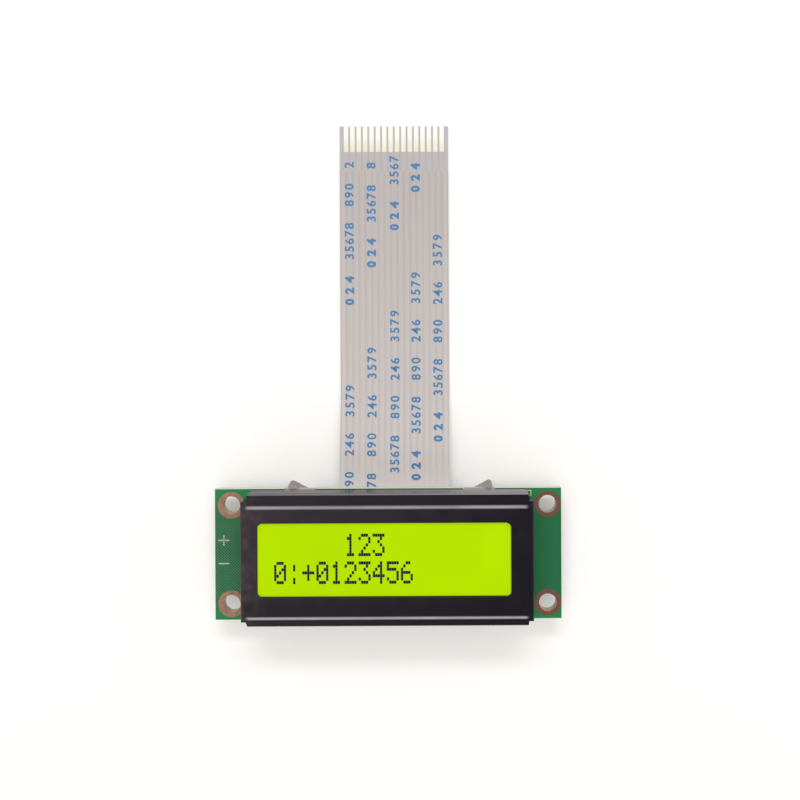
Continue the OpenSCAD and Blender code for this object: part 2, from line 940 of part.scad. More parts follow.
// Solder between each pad and its conductor, with a fillet past the conductor's end
module cable_solder() {
    pad_z = back_z - copper_t;
    end_y = cable_start_y - solder_fillet;
    color("silver")
        at_ways()
            across(conductor_w)
                polygon([
                    [end_y, pad_z],
                    [end_y + cable_pad_l, pad_z],
                    [end_y + cable_pad_l, pad_z - solder_t],
                    [cable_start_y, pad_z - solder_t],
                    [cable_start_y, pad_z - solder_t - conductor_t]
                ]);
}

circuit_board();
mounting_hole_plating();
pin_hole_plating();
strip_contacts();
cable_pads();
chip_pads();
bezel();
front_polarizer();
front_glass();
cell_seal();
fill_port_plug();
rear_glass();
rear_polarizer();
contact_strip(1);  // upper_contact_strip
contact_strip(-1);  // lower_contact_strip
diffuser_sheet();
light_guide();
reflector_sheet();
backlight_frame();
led_board();
led_chips();
backlight_pins();
pin_solder();
chip_die(-1);  // controller_die
chip_cap(-1);  // controller_cap
chip_die(1);  // driver_die
chip_cap(1);  // driver_cap
chip_resistors();
chip_capacitors();
chip_end_caps();
chip_solder();
cable_upper_film();
cable_lower_film();
cable_conductors();
cable_stiffener();
cable_solder();
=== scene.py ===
import math

import bmesh
import bpy
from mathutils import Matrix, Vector


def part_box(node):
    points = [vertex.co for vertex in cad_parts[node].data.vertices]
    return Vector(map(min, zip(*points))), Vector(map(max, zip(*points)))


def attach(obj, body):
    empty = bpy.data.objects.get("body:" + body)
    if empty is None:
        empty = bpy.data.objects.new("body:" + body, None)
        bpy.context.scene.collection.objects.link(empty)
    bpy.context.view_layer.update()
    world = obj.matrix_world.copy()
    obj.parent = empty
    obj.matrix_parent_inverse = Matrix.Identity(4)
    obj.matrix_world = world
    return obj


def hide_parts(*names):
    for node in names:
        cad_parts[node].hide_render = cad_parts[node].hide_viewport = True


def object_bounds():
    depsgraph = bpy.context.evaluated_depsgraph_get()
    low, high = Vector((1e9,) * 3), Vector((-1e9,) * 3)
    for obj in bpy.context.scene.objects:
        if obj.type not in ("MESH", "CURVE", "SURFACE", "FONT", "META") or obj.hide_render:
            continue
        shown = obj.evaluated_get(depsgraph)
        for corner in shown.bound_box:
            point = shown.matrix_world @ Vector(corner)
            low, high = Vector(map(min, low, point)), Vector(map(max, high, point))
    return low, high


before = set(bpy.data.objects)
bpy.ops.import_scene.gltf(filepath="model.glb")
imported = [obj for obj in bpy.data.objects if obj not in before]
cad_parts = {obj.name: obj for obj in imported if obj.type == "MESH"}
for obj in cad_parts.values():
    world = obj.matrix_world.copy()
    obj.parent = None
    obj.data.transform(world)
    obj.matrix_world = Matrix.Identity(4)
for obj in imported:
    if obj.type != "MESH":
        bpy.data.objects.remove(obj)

# ---- Camera ----
# The camera stands over the display, a little above its middle and towards its right end, and
# looks straight down. A small lens shift frames the module low in the picture, under its cable.

MM = 0.001  # one millimetre in metres
scene = bpy.context.scene
scene.view_settings.view_transform = "Standard"
cad_low, cad_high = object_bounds()


def add_to_scene(name, data):
    """A new object in the scene, made of a mesh, a camera, a light or a text."""
    thing = bpy.data.objects.new(name, data)
    scene.collection.objects.link(thing)
    return thing


camera = add_to_scene("camera", bpy.data.cameras.new("camera"))
camera.location = (9.35 * MM, 30.79 * MM, 123.99 * MM)
camera.rotation_euler = [math.radians(degrees) for degrees in (-0.249, -0.139, -0.245)]
camera.data.sensor_width = 36
camera.data.lens = 36.463
camera.data.shift_x = -0.0648
camera.data.shift_y = -0.0551
camera.data.clip_start = 0.002
scene.camera = camera

# ---- Light and paper ----
# A pale sheet of paper under a plain soft light: an even sky, a strip lamp over the cable's side
# and one low over the near side. The lamps add to the bright lines along the bezel's bends, which
# are mostly painted highlights.

LIGHT_DISTANCE = 0.8  # metres
SKY_STRENGTH = 0.82
WARM_WHITE = (1.0, 0.985, 0.965, 1)
PURE_WHITE = (1, 1, 1, 1)
PAPER = (0.84, 0.825, 0.81, 1)
PAPER_HALF = 1.5  # half the sheet's side in metres
PAPER_FADE = (0.15, 0.5)  # it fades to pure white between these distances, in metres


class Nodes:
    """A node tree, with short ways to add nodes and wire them up."""

    def __init__(self, tree):
        self.tree = tree

    def feed(self, socket, value):
        """Sets an input to a value, or wires another node's output to it."""
        if isinstance(value, bpy.types.NodeSocket):
            self.tree.links.new(value, socket)
        else:
            socket.default_value = value

    def feed_all(self, node, inputs):
        """Feeds inputs by name, with an underscore for each space in a name."""
        for name, value in inputs.items():
            self.feed(node.inputs[name.replace("_", " ")], value)

    def add(self, kind, **inputs):
        """A new shader node of this kind."""
        node = self.tree.nodes.new("ShaderNode" + kind)
        self.feed_all(node, inputs)
        return node

    def mix(self, share, first, second):
        """Two shaders in one: first where share is 0 and second where it is 1."""
        node = self.add("MixShader", Fac=share)
        self.feed(node.inputs[1], first)
        self.feed(node.inputs[2], second)
        return node.outputs[0]

    def math(self, operation, *values):
        """The result of one calculation on numbers or sockets."""
        node = self.tree.nodes.new("ShaderNodeMath")
        node.operation = operation
        for socket, value in zip(node.inputs, values):
            self.feed(socket, value)
        return node.outputs[0]

    def ramp(self, value, low, high, to_low=0.0, to_high=1.0, smooth=False):
        """Turns the range from low to high into to_low to to_high and holds it beyond both."""
        node = self.add("MapRange")
        node.interpolation_type = "SMOOTHSTEP" if smooth else "LINEAR"
        for socket, setting in zip(node.inputs, (value, low, high, to_low, to_high)):
            self.feed(socket, setting)
        return node.outputs[0]

    def seen_directly(self):
        """1 for the camera's own rays and for those that gloss and glass send on, else 0."""
        path = self.add("LightPath").outputs
        mirrored = self.math("MAXIMUM", path["Is Glossy Ray"], path["Is Transmission Ray"])
        return self.math("MAXIMUM", path["Is Camera Ray"], mirrored)


def light_the_sky():
    """A white surround to look at, and a plain level of light from it."""
    world = bpy.data.worlds.new("surround")
    world.use_nodes = True
    sky = Nodes(world.node_tree)
    world.node_tree.nodes.clear()
    light = sky.add("Background", Color=WARM_WHITE, Strength=SKY_STRENGTH)
    white = sky.add("Background", Color=PURE_WHITE, Strength=1.0)
    sky.add("OutputWorld", Surface=sky.mix(sky.seen_directly(), light.outputs[0], white.outputs[0]))
    scene.world = world


def strip_lamp(name, tilt, width, length, brightness):
    """A long soft lamp across the module, tilted from overhead towards the cable."""
    data = bpy.data.lights.new(name, "AREA")
    data.shape = "RECTANGLE"
    data.size = length
    data.size_y = width
    data.energy = brightness * math.pi * width * length
    lamp = add_to_scene(name, data)
    angle = math.radians(tilt)
    away = Vector((0, math.sin(angle), math.cos(angle)))
    lamp.location = away * LIGHT_DISTANCE
    lamp.rotation_euler = away.to_track_quat("Z", "Y").to_euler()


def lay_paper():
    """A wide sheet under the module. It keeps the module's shadow and is plain white far away."""
    z = cad_low.z - 0.01 * MM
    mesh = bpy.data.meshes.new("paper")
    corners = [(PAPER_HALF * i, PAPER_HALF * j, z) for i, j in ((-1, -1), (1, -1), (1, 1), (-1, 1))]
    mesh.from_pydata(corners, [], [(0, 1, 2, 3)])
    material = bpy.data.materials.new("paper")
    material.use_nodes = True
    paper = Nodes(material.node_tree)
    paper.tree.nodes.clear()
    sheet = paper.add("BsdfDiffuse", Color=PAPER).outputs[0]
    glow = paper.add("Emission", Color=WARM_WHITE, Strength=0.17)
    lit = paper.add("AddShader")
    paper.feed(lit.inputs[0], sheet)
    paper.feed(lit.inputs[1], glow.outputs[0])
    spot = paper.add("SeparateXYZ", Vector=paper.add("TexCoord").outputs["Object"]).outputs
    away = paper.math("MAXIMUM", paper.math("ABSOLUTE", spot[0]), paper.math("ABSOLUTE", spot[1]))
    far = paper.ramp(away, *PAPER_FADE, smooth=True)
    white = paper.add("Emission", Color=PURE_WHITE, Strength=1.0)
    faded = paper.mix(far, lit.outputs[0], white.outputs[0])
    paper.add("OutputMaterial", Surface=paper.mix(paper.seen_directly(), sheet, faded))
    mesh.materials.append(material)
    add_to_scene("paper", mesh)


light_the_sky()
strip_lamp("lamp_over_cable", tilt=48, width=0.12, length=0.6, brightness=10)
strip_lamp("lamp_near_side", tilt=-60, width=0.1, length=0.6, brightness=2.5)
lay_paper()

# ---- Circuit board ----
# Glass-fibre laminate with a copper hatch on both faces under green solder mask. It is routed to
# size, so the sawn edges show bare laminate; the polarity marks are screened on in white ink.

BOARD_HALF_W = 26  # named sizes and places are in millimetres from here on
HATCH_PITCH = 0.44
LAYER_PITCH = 0.2  # of the glass cloth in the laminate
INK_T = 0.02
MARK_LINE_W = 0.22
PLUS_Y, MINUS_Y = 2.15, -1.4  # places of the backlight's pins, which the marks stand beside
MARK_X = -25.35
MARK_HALF = 0.82
CORNER_MARK = (21.25, 9.2)
CORNER_MARK_HALF = 0.4


def tone(red, green, blue):
    """A paint colour given in the usual 0 to 255 steps, as linear light."""
    channels = [value / 255 for value in (red, green, blue)]
    linear = [c / 12.92 if c <= 0.04045 else ((c + 0.055) / 1.055) ** 2.4 for c in channels]
    return (*linear, 1)


class Finish(Nodes):
    """One surface finish: a material's shader and the nodes that vary it over the surface."""

    def __init__(self, name, roughness=0.5, metallic=0.0, specular=0.5, **sockets):
        self.material = bpy.data.materials.new(name)
        self.material.use_nodes = True
        super().__init__(self.material.node_tree)
        self.shader = self.tree.nodes["Principled BSDF"]
        self.put(Roughness=roughness, Metallic=metallic, Specular_IOR_Level=specular, **sockets)
        self.place = self.add("TexCoord").outputs["Object"]
        spread = self.add("SeparateXYZ", Vector=self.place)
        self.x, self.y, self.z = spread.outputs

    def put(self, **sockets):
        """Sets or wires the material's own inputs."""
        self.feed_all(self.shader, sockets)

    def clouds(self, size, detail=2.0, stretch=(1, 1, 1)):
        """Soft random variation from 0 to 1 with spots of this size in metres."""
        scale = [1 / (size * s) for s in stretch]
        scaled = self.add("Mapping", Vector=self.place, Scale=scale)
        noise = self.add("TexNoise", Vector=scaled.outputs[0], Scale=1.0, Detail=detail)
        return self.ramp(noise.outputs[0], 0.3, 0.7)

    def blend(self, share, first, second):
        """first where share is 0 and second where it is 1; each is a tone or a socket."""
        node = self.tree.nodes.new("ShaderNodeMix")
        node.data_type = "RGBA"
        self.feed(node.inputs[0], share)
        self.feed(node.inputs[6], first)
        self.feed(node.inputs[7], second)
        return node.outputs[2]

    def relief(self, height, depth):
        """Bumps of this depth in metres where height goes from 0 to 1."""
        bump = self.add("Bump", Height=height, Distance=depth)
        self.put(Normal=bump.outputs[0])

    def facing_up(self):
        """How much a surface faces up or down: 1 on the flat faces, 0 on upright walls."""
        normal = self.add("NewGeometry").outputs["Normal"]
        return self.math("ABSOLUTE", self.add("SeparateXYZ", Vector=normal).outputs[2])

    def stripes(self, along, pitch):
        """A wave from 0 to 1 and back over each pitch, along a coordinate."""
        turn = self.math("MULTIPLY", along, 2 * math.pi / pitch)
        return self.math("MULTIPLY_ADD", self.math("SINE", turn), 0.5, 0.5)

    def distance(self, along, place):
        """How far a coordinate is from a place on its axis, to either side."""
        return self.math("ABSOLUTE", self.math("SUBTRACT", along, place))

    def all_of(self, first, *others):
        """The product of several shares."""
        for other in others:
            first = self.math("MULTIPLY", first, other)
        return first


def dress(finish, *names):
    """Gives a finish to CAD pieces."""
    for name in names:
        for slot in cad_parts[name].material_slots:
            slot.material = finish


def mottled(name, first, second, size, depth, stretch=(1, 1, 1), **sockets):
    """A surface that drifts between two tones in spots of this size, with faint bumps."""
    skin = Finish(name, **sockets)
    spots = skin.clouds(size, detail=3, stretch=stretch)
    skin.put(Base_Color=skin.blend(spots, first, second))
    skin.relief(skin.clouds(size / 4, stretch=stretch), depth)
    return skin.material


def solder_mask():
    """Green mask on the flat faces, lighter to the left by a painted sheen, a little richer along
    both long edges, and pale cut edges.
    """
    mask = Finish("solder_mask", specular=0.15)
    rising = mask.stripes(mask.math("ADD", mask.x, mask.y), HATCH_PITCH * MM)
    falling = mask.stripes(mask.math("SUBTRACT", mask.x, mask.y), HATCH_PITCH * MM)
    hatch = mask.ramp(mask.math("MAXIMUM", rising, falling), 0.5, 0.95, smooth=True)
    # Painted sheen: the hatch's dark and light tones both grow lighter towards the left end.
    to_left = mask.ramp(mask.x, BOARD_HALF_W * MM, -BOARD_HALF_W * MM)
    dark = mask.blend(to_left, tone(10, 80, 42), tone(26, 82, 48))
    light = mask.blend(to_left, tone(44, 126, 80), tone(76, 134, 96))
    over_copper = mask.blend(hatch, dark, light)
    cloudy = mask.all_of(mask.clouds(1.6 * MM), 0.4)
    uneven = mask.blend(cloudy, over_copper, tone(32, 100, 60))
    by_edge = mask.ramp(mask.math("ABSOLUTE", mask.y), 6.4 * MM, 9.4 * MM, smooth=True)
    rich = mask.blend(mask.all_of(by_edge, 0.75), uneven, tone(32, 134, 74))
    layers = mask.stripes(mask.z, LAYER_PITCH * MM)
    fibre = mask.all_of(layers, mask.clouds(0.3 * MM, stretch=(3, 3, 0.4)))
    laminate = mask.blend(fibre, tone(216, 211, 202), tone(192, 185, 174))
    flat = mask.ramp(mask.facing_up(), 0.4, 0.6)
    mask.put(Base_Color=mask.blend(flat, laminate, rich))
    mask.put(Roughness=mask.ramp(flat, 0, 1, 0.8, 0.34))
    mask.relief(mask.math("ADD", hatch, mask.clouds(0.25 * MM)), 0.006 * MM)
    return mask.material


def ink(name, colour, worn):
    """Screened ink: a flat colour that thins out in small specks."""
    paint = Finish(name, roughness=0.6, specular=0.3)
    specks = paint.clouds(0.12 * MM, detail=4)
    paint.put(Base_Color=paint.blend(specks, colour, worn))
    paint.relief(specks, 0.004 * MM)
    return paint.material


class Recipe(Nodes):
    """A Geometry Nodes tree with named sizes that turns points or lines into pieces."""

    def __init__(self, name, *sizes):
        super().__init__(bpy.data.node_groups.new(name, "GeometryNodeTree"))
        for label in ("Lines", *sizes, "Finish"):
            kind = {"Lines": "Geometry", "Finish": "Material"}.get(label, "Float")
            self.tree.interface.new_socket(label, in_out="INPUT", socket_type="NodeSocket" + kind)
        self.tree.interface.new_socket("Piece", in_out="OUTPUT", socket_type="NodeSocketGeometry")
        self.given = self.tree.nodes.new("NodeGroupInput").outputs

    def step(self, kind, mode=None, **inputs):
        """The geometry that a new node of this kind gives."""
        node = self.tree.nodes.new("GeometryNode" + kind)
        if mode:
            node.mode = mode
        self.feed_all(node, inputs)
        return node.outputs[0]

    def give(self, geometry):
        """Ends the tree: plain mesh with its finish."""
        solid = self.step("RealizeInstances", Geometry=geometry)
        finished = self.step("SetMaterial", Geometry=solid, Material=self.given["Finish"])
        self.feed(self.tree.nodes.new("NodeGroupOutput").inputs[0], finished)

    def give_at_points(self, shape):
        """Ends the tree with one copy of the shape at each point."""
        self.give(self.step("InstanceOnPoints", Points=self.given["Lines"], Instance=shape))

    def make(self, name, points, lines, finish, **sizes):
        """Runs the tree on points in metres and the lines that join them, for a plain piece."""
        mesh = bpy.data.meshes.new(name)
        mesh.from_pydata(points, lines, [])
        piece = add_to_scene(name, mesh)
        modifier = piece.modifiers.new("recipe", "NODES")
        modifier.node_group = self.tree
        values = {**sizes, "Finish": finish}
        for socket in self.tree.interface.items_tree:
            if socket.name in values:
                modifier[socket.identifier] = values[socket.name]
        graph = bpy.context.evaluated_depsgraph_get()
        piece.data = bpy.data.meshes.new_from_object(piece.evaluated_get(graph))
        piece.modifiers.remove(modifier)
        return piece


def lines_recipe():
    """Flat bands of one width and thickness along lines, with rounded corners."""
    recipe = Recipe("flat_lines", "Width", "Thickness", "Corner")
    line = recipe.step("MeshToCurve", Mesh=recipe.given["Lines"])
    corner = recipe.given["Corner"]
    rounded = recipe.step("FilletCurve", mode="POLY", Curve=line, Count=3, Radius=corner)
    upright = recipe.step("SetCurveNormal", mode="Z_UP", Curve=rounded)
    width, thickness = recipe.given["Width"], recipe.given["Thickness"]
    section = recipe.step("CurvePrimitiveQuadrilateral", Width=width, Height=thickness)
    recipe.give(recipe.step("CurveToMesh", Curve=upright, Profile_Curve=section, Fill_Caps=True))
    return recipe


def routes_to_mesh(routes, z):
    """Points in metres and joining lines of several routes in the plane at z in millimetres."""
    points, lines = [], []
    for route in routes:
        first = len(points)
        points += [(x * MM, y * MM, z * MM) for x, y in route]
        lines += [(i, i + 1) for i in range(first, len(points) - 1)]
    return points, lines


def keep(piece):
    """Fixes a new piece to the module."""
    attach(piece, "root")
    return piece


def box_route(x, y, half_w, half_h):
    """The outline of a box round x, y, which starts and ends at the middle of its lower side."""
    corners = [(0, -1), (1, -1), (1, 1), (-1, 1), (-1, -1), (0, -1)]
    return [(x + half_w * i, y + half_h * j) for i, j in corners]


def polarity_routes(x, half):
    """A plus and a minus sign beside the backlight's pins."""
    return [
        [(x - half, PLUS_Y), (x + half, PLUS_Y)],
        [(x, PLUS_Y - half), (x, PLUS_Y + half)],
        [(x - half, MINUS_Y), (x + half, MINUS_Y)],
    ]


dress(solder_mask(), "circuit_board")
flat_lines = lines_recipe()
screen_ink = ink("screen_ink", tone(206, 202, 190), tone(150, 165, 145))
back_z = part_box("circuit_board")[0].z / MM
front_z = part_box("circuit_board")[1].z / MM
front_marks = polarity_routes(MARK_X, MARK_HALF)
front_marks.append(box_route(*CORNER_MARK, CORNER_MARK_HALF, CORNER_MARK_HALF))
keep(flat_lines.make(
    "front_marks", *routes_to_mesh(front_marks, front_z + INK_T / 2), screen_ink,
    Width=MARK_LINE_W * MM, Thickness=INK_T * MM, Corner=0.0,
))

# ---- Plated holes and bare contacts ----
# Copper barrels with a ring on each face line the holes. The rings are bare, so they tarnish to
# brown, while the inside of each barrel stays tinned. The other contacts are flashed with gold.

CHAMFER = 0.04  # width of the small chamfer on a cut edge
FLAT_ANGLE = math.radians(0.5)  # faces that meet at less than this become one
SMOOTH_ANGLE = math.radians(25)  # edges below this are shaded as one bend
CORNER_ANGLE = math.radians(40)  # edges above this get a chamfer


def soften(node, finish, chamfer=CHAMFER):
    """Puts a copy in a CAD piece's place, with fine chamfers on its corners and smooth bends."""
    shape = bmesh.new()
    shape.from_mesh(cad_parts[node].data)
    bmesh.ops.remove_doubles(shape, verts=shape.verts, dist=0.0005 * MM)
    bmesh.ops.dissolve_limit(shape, angle_limit=FLAT_ANGLE, verts=shape.verts, edges=shape.edges)
    if chamfer:
        corners = [e for e in shape.edges if e.is_manifold and e.calc_face_angle() > CORNER_ANGLE]
        bmesh.ops.bevel(
            shape, geom=corners, offset=chamfer * MM, offset_type="OFFSET",
            segments=1, affect="EDGES", clamp_overlap=True,
        )
    for face in shape.faces:
        face.smooth = True
    for edge in shape.edges:
        edge.smooth = edge.is_manifold and edge.calc_face_angle() < SMOOTH_ANGLE
    mesh = bpy.data.meshes.new(node + "_finished")
    shape.to_mesh(mesh)
    shape.free()
    mesh.materials.append(finish)
    piece = keep(add_to_scene(node + "_finished", mesh))
    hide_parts(node)


def bare_copper():
    """Brown rings on the flat faces, paler to the left, and tinned walls in the holes."""
    copper = Finish("bare_copper", roughness=0.42, specular=0.3)
    tarnish = copper.clouds(0.7 * MM, detail=4)
    to_left = copper.ramp(copper.x, BOARD_HALF_W * MM, -BOARD_HALF_W * MM)
    brown = copper.blend(to_left, tone(114, 80, 68), tone(168, 131, 109))
    ring = copper.blend(copper.all_of(tarnish, 0.5), brown, tone(98, 60, 48))
    tinned = copper.blend(tarnish, tone(208, 190, 166), tone(178, 158, 134))
    flat = copper.ramp(copper.facing_up(), 0.4, 0.6)
    copper.put(Base_Color=copper.blend(flat, tinned, ring))
    copper.put(Metallic=copper.ramp(flat, 0, 1, 0.6, 0.3))
    copper.relief(copper.clouds(0.1 * MM, detail=3), 0.003 * MM)
    return copper.material


gold = mottled(
    "gold_pads", tone(222, 186, 108), tone(196, 158, 84), 0.5 * MM, 0.002 * MM,
    metallic=0.9, roughness=0.3,
)
soften("mounting_hole_plating", bare_copper(), chamfer=0)
dress(gold, "pin_hole_plating", "strip_contacts", "cable_pads", "chip_pads")

# ---- Copper tracks on the back ----
# Etched copper under the mask, so each track shows as a raised, lighter green line. The outer ways
# of the cable run to the chips, the inner ways to vias, and a bus along the edge joins both chips.

TRACK_W = 0.26
TRACK_T = 0.035
TRACK_CORNER = 0.25
CHIP_X, CHIP_Y = 10.8, -2.2
CHIP_REACH = 4.7  # the tracks run in just under the epoxy's rim
CABLE_X = 0.7
WAYS = 16
WAY_PITCH = 1
PAD_END_Y = 3.9
FAN_WAYS = 4  # ways at each side of the cable that go to the chip on that side
FAN_ANGLE, FAN_TURN = 62, 12  # degrees round the chip at the first of them, and to the next
INNER_END_Y = (1.6, 2.5)
BUS_LINES = 4
BUS_X, BUS_STEP_X = 7.6, 0.55
BUS_Y, BUS_STEP_Y = -8.15, -0.38
RESISTOR_Y = [-7 + 1.95 * row for row in range(4)]
RESISTOR_END_X = 3.5
VIA_R, VIA_T = 0.3, 0.04
VIA_GRIDS = (  # places along X, and places along Y at each of them
    ((-18.5, -17, 17, 18.5), (-9.3,)),
    ((-17.6, 17.6), (4.6, 6.1, 7.6)),
)


def chip_edge(offset):
    """How far the rim that the tracks run to is from a chip's middle line, at an offset from it."""
    return math.sqrt(CHIP_REACH**2 - offset**2)


def fan_routes():
    """Tracks from the outer pads of the cable down and across to the chip on the same side."""
    routes = []
    for side in (-1, 1):
        for i in range(FAN_WAYS):
            x = CABLE_X + side * ((WAYS - 1) / 2 - i) * WAY_PITCH
            angle = math.radians(FAN_ANGLE - FAN_TURN * i)
            end_x = side * (CHIP_X - CHIP_REACH * math.cos(angle))
            end_y = CHIP_Y + CHIP_REACH * math.sin(angle)
            slant = min(0.5, abs(end_x - x) / 2)
            turned_x = x + math.copysign(slant, end_x - x)
            routes.append([(x, PAD_END_Y), (x, end_y + slant), (turned_x, end_y), (end_x, end_y)])
    return routes


def inner_ways():
    """Where the cable's inner ways end in a via, in two staggered rows."""
    ways = range(FAN_WAYS, WAYS - FAN_WAYS)
    return [(CABLE_X + ((WAYS - 1) / 2 - way) * WAY_PITCH, INNER_END_Y[way % 2]) for way in ways]


def bus_routes():
    """Lines along the lower edge that join the two chips."""
    routes = []
    for i in range(BUS_LINES):
        x = BUS_X + BUS_STEP_X * i
        y = BUS_Y + BUS_STEP_Y * i
        rise = CHIP_Y - chip_edge(CHIP_X - x)
        routes.append([(-x, rise), (-x, y), (x, y), (x, rise)])
    return routes


def resistor_routes():
    """Short tracks from each resistor's outer pad to the nearer chip, or to the bus's first line."""
    routes = []
    for y in RESISTOR_Y:
        end = BUS_X - TRACK_W / 2 - 0.01
        if abs(y - CHIP_Y) < CHIP_REACH - 0.1:
            end = CHIP_X - chip_edge(y - CHIP_Y)
        routes += [[(side * RESISTOR_END_X, y), (side * end, y)] for side in (-1, 1)]
    return routes


def tracked_copper():
    """Copper seen through the mask, so it is green and a little lighter than the board."""
    copper = Finish("masked_copper", roughness=0.36, specular=0.45)
    worn = copper.clouds(0.8 * MM, detail=3)
    copper.put(Base_Color=copper.blend(worn, tone(58, 136, 84), tone(72, 150, 92)))
    copper.relief(copper.clouds(0.2 * MM), 0.004 * MM)
    return copper.material


def discs_recipe():
    """One flat disc at each point."""
    recipe = Recipe("discs", "Radius", "Thickness")
    radius, thickness = recipe.given["Radius"], recipe.given["Thickness"]
    recipe.give_at_points(recipe.step("MeshCylinder", Vertices=16, Radius=radius, Depth=thickness))
    return recipe


tracks = fan_routes() + bus_routes() + resistor_routes()
tracks += [[(x, PAD_END_Y), (x, y)] for x, y in inner_ways()]
masked_copper = tracked_copper()
keep(flat_lines.make(
    "back_tracks", *routes_to_mesh(tracks, back_z - TRACK_T / 2), masked_copper,
    Width=TRACK_W * MM, Thickness=TRACK_T * MM, Corner=TRACK_CORNER * MM,
))

vias = [(x, y) for all_x, all_y in VIA_GRIDS for x in all_x for y in all_y] + inner_ways()
keep(discs_recipe().make(
    "vias", [(x * MM, y * MM, (back_z - TRACK_T) * MM) for x, y in vias], [], masked_copper,
    Radius=VIA_R * MM, Thickness=VIA_T * MM,
))

# ---- Screened marks on the back ----
# Thin white ink under and round the parts: a ring where each chip's epoxy is poured, an outline
# round each small part, the backlight's polarity and the numbers of the cable's two outer ways.

RING_R = 5.05
RING_STEPS = 48
OUTLINE_HALF = (1.95, 0.82)  # half the width and height of the outline round a small part
RESISTOR_X = 2.3
CAPACITOR_X, CAPACITOR_Y = 19.4, 3
BACK_MARK_X, BACK_MARK_HALF = -22.4, 0.7
BACK_LINE_W = 0.15
WAY_NUMBERS = (("16", -9.2), ("1", 10.2))  # the cable's outer ways and their place along X
WAY_NUMBER_Y, WAY_NUMBER_H = 4.6, 1.1


def ring_route(x, y, radius):
    """A closed ring of short straight lines."""
    turns = [2 * math.pi * i / RING_STEPS for i in range(RING_STEPS + 1)]
    return [(x + radius * math.cos(turn), y + radius * math.sin(turn)) for turn in turns]


def flat_numbers(text, place, height, bold=0.0):
    """Points and faces of plain digits as thin solids, of this height.

    place(along, up, on_top) puts each point where it belongs.
    """
    data = bpy.data.curves.new("digits", "FONT")
    data.body = text
    data.resolution_u = 3
    data.offset = bold
    data.extrude = 0.01  # only parts the top from the foot, which place() then sets apart
    letters = add_to_scene("digits", data)
    graph = bpy.context.evaluated_depsgraph_get()
    mesh = bpy.data.meshes.new_from_object(letters.evaluated_get(graph))
    bpy.data.objects.remove(letters)
    shape = bmesh.new()
    shape.from_mesh(mesh)
    bmesh.ops.remove_doubles(shape, verts=shape.verts, dist=1e-4)
    low = [min(v.co[i] for v in shape.verts) for i in range(2)]
    high = [max(v.co[i] for v in shape.verts) for i in range(2)]
    size = height / (high[1] - low[1])
    middle = (low[0] + high[0]) / 2
    spots = [((v.co.x - middle) * size, (v.co.y - low[1]) * size, v.co.z > 0) for v in shape.verts]
    points = [place(along, up, on_top) for along, up, on_top in spots]
    shape.verts.index_update()
    faces = [[v.index for v in face.verts] for face in shape.faces]
    shape.free()
    return points, faces


def solid_of(name, parts, finish):
    """One closed mesh from several lists of points and faces, in millimetres."""
    points, faces = [], []
    for part_points, part_faces in parts:
        first = len(points)
        points += [(x * MM, y * MM, z * MM) for x, y, z in part_points]
        faces += [[first + i for i in face] for face in part_faces]
    mesh = bpy.data.meshes.new(name)
    mesh.from_pydata(points, [], faces)
    shape = bmesh.new()
    shape.from_mesh(mesh)
    bmesh.ops.recalc_face_normals(shape, faces=shape.faces)
    shape.to_mesh(mesh)
    shape.free()
    mesh.materials.append(finish)
    return add_to_scene(name, mesh)


def way_number(text, x):
    """A number that reads from behind the board, so it runs towards -X."""
    def place(along, up, on_top):
        return (x - along, WAY_NUMBER_Y + up, back_z - (0 if on_top else INK_T))
    return flat_numbers(text, place, WAY_NUMBER_H)


back_marks = [ring_route(side * CHIP_X, CHIP_Y, RING_R) for side in (-1, 1)]
back_marks += [box_route(side * RESISTOR_X, y, *OUTLINE_HALF) for y in RESISTOR_Y for side in (-1, 1)]
back_marks += [box_route(CAPACITOR_X, side * CAPACITOR_Y, *OUTLINE_HALF) for side in (-1, 1)]
back_marks += polarity_routes(BACK_MARK_X, BACK_MARK_HALF)
keep(flat_lines.make(
    "back_marks", *routes_to_mesh(back_marks, back_z - INK_T / 2), screen_ink,
    Width=BACK_LINE_W * MM, Thickness=INK_T * MM, Corner=0.0,
))
way_numbers = [way_number(text, x) for text, x in WAY_NUMBERS]
keep(solid_of("back_numbers", way_numbers, screen_ink))

# ---- Chips under epoxy ----
# Two bare silicon dies are glued and bonded to the board's back, and a drop of black epoxy covers
# each. The drop sets as a low glossy dome with a slightly uneven skin.

silicon = mottled(
    "silicon", tone(92, 94, 106), tone(70, 72, 84), 0.6 * MM, 0.001 * MM,
    metallic=0.6, roughness=0.2,
)
black_epoxy = mottled(
    "cap_epoxy", tone(24, 24, 26), tone(34, 33, 34), 1.8 * MM, 0.02 * MM, roughness=0.26
)
dress(silicon, "controller_die", "driver_die")
soften("controller_cap", black_epoxy, chamfer=0)
soften("driver_cap", black_epoxy, chamfer=0)

# ---- Chip resistors and capacitors ----
# Small ceramic blocks with tinned ends, soldered flat on their pads. The resistors have a dark
# glaze on the side that shows, and the capacitors are plain fired ceramic.

resistor_glaze = mottled(
    "resistor_glaze", tone(30, 30, 33), tone(44, 43, 45), 0.35 * MM, 0.003 * MM, roughness=0.32
)
ceramic = mottled(
    "capacitor_ceramic", tone(176, 148, 116), tone(158, 130, 100), 0.25 * MM, 0.004 * MM,
    roughness=0.6,
)
tinned_ends = mottled(
    "tinned_pins", tone(206, 204, 200), tone(176, 174, 170), 0.2 * MM, 0.005 * MM,
    metallic=0.9, roughness=0.36,
)
solder = mottled(
    "solder", tone(196, 196, 196), tone(160, 160, 162), 0.3 * MM, 0.012 * MM,
    metallic=0.9, roughness=0.3,
)
soften("chip_resistors", resistor_glaze)
soften("chip_capacitors", ceramic, chamfer=0.07)
soften("chip_end_caps", tinned_ends, chamfer=0.05)
soften("chip_solder", solder)

